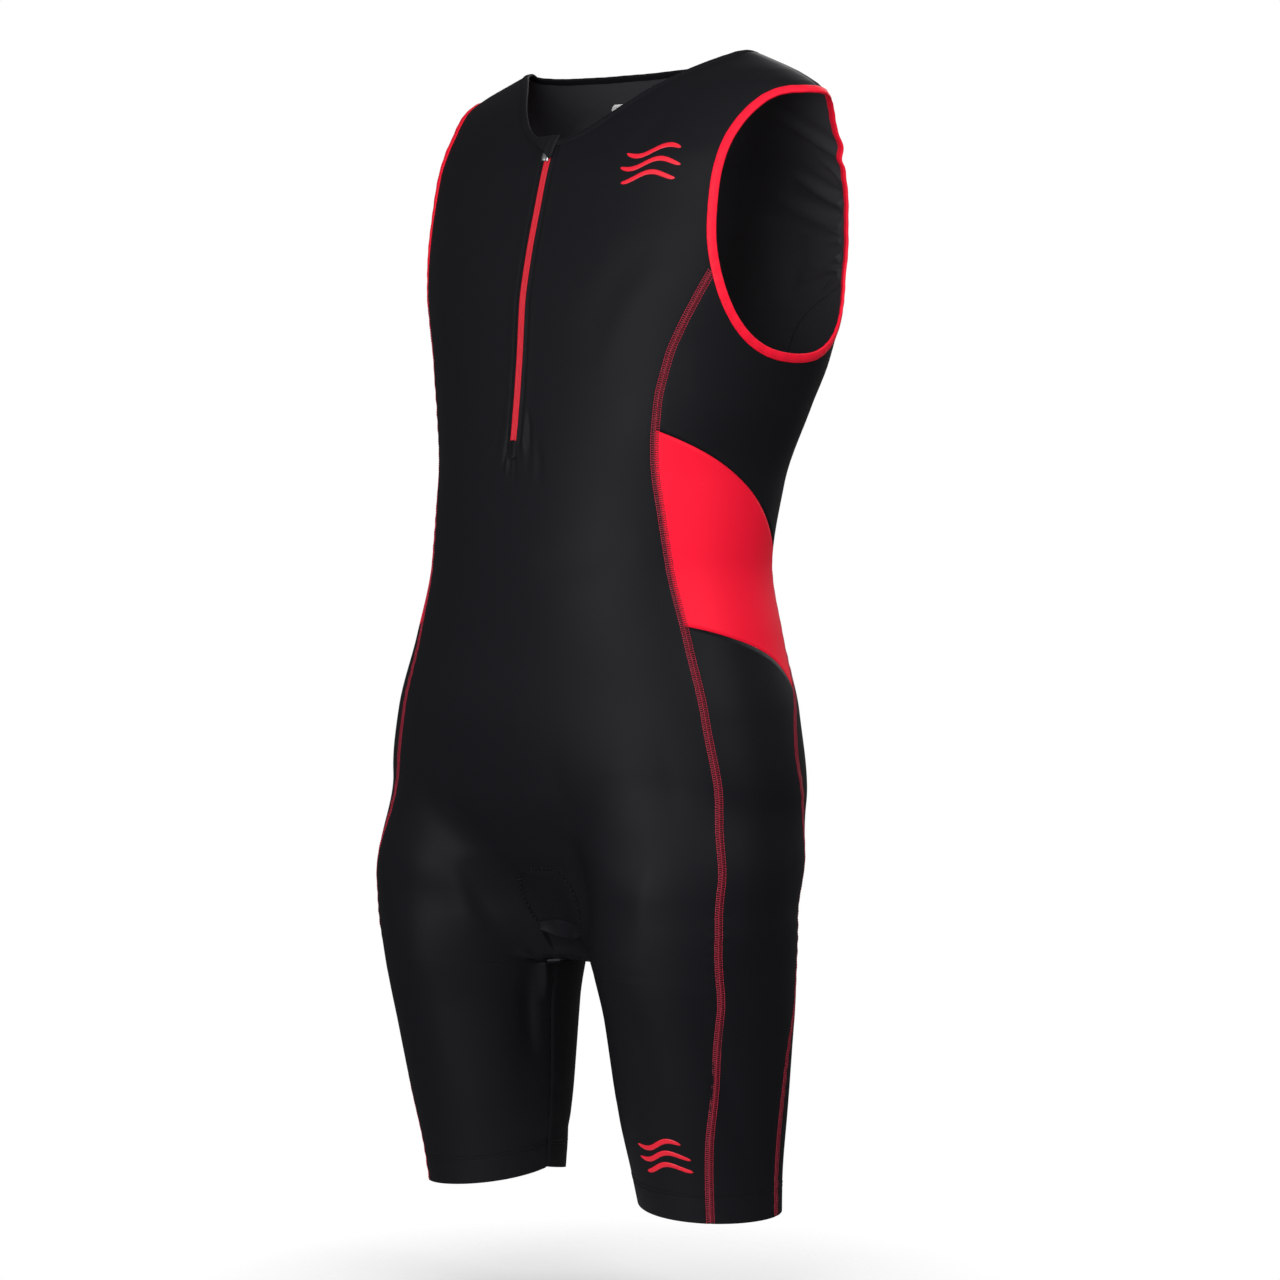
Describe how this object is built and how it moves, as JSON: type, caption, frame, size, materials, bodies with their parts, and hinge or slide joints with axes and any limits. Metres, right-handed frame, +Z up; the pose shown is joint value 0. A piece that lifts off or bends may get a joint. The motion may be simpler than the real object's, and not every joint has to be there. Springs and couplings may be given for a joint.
{
  "type": "triathlon suit",
  "caption": "Sleeveless one-piece triathlon suit with mid-thigh legs, front half zip, coloured waist side panels and bound armholes, shown in its hollow worn shape.",
  "frame": {"origin": "mid-point between the two neck-shoulder points, where the suit hangs from the shoulders", "axes": "+Z up, the front faces -Y, the wearer's left is +X"},
  "size_m": [0.3862, 0.2847, 0.913],
  "materials": {
    "black_fabric": "smooth satin knit",
    "black_matte_fabric": "matte knit",
    "red_fabric": "smooth knit",
    "red_zip": "woven tape",
    "zip_metal": "satin",
    "white_print": "matte"
  },
  "bodies": {
    "root": {"front": "black_fabric", "back": "black_matte_fabric", "side_upper_L": "black_fabric", "side_upper_R": "black_fabric", "side_waist_L": "red_fabric", "side_waist_R": "red_fabric", "side_thigh_L": "black_fabric", "side_thigh_R": "black_fabric", "neck_binding": "black_fabric", "armhole_binding_L": "red_fabric", "armhole_binding_R": "red_fabric", "zip_chain": "red_zip", "zip_stop": "black_matte_fabric", "zip_slider": "zip_metal", "zip_garage": "black_fabric", "back_label": "white_print"}
  },
  "joints": []
}
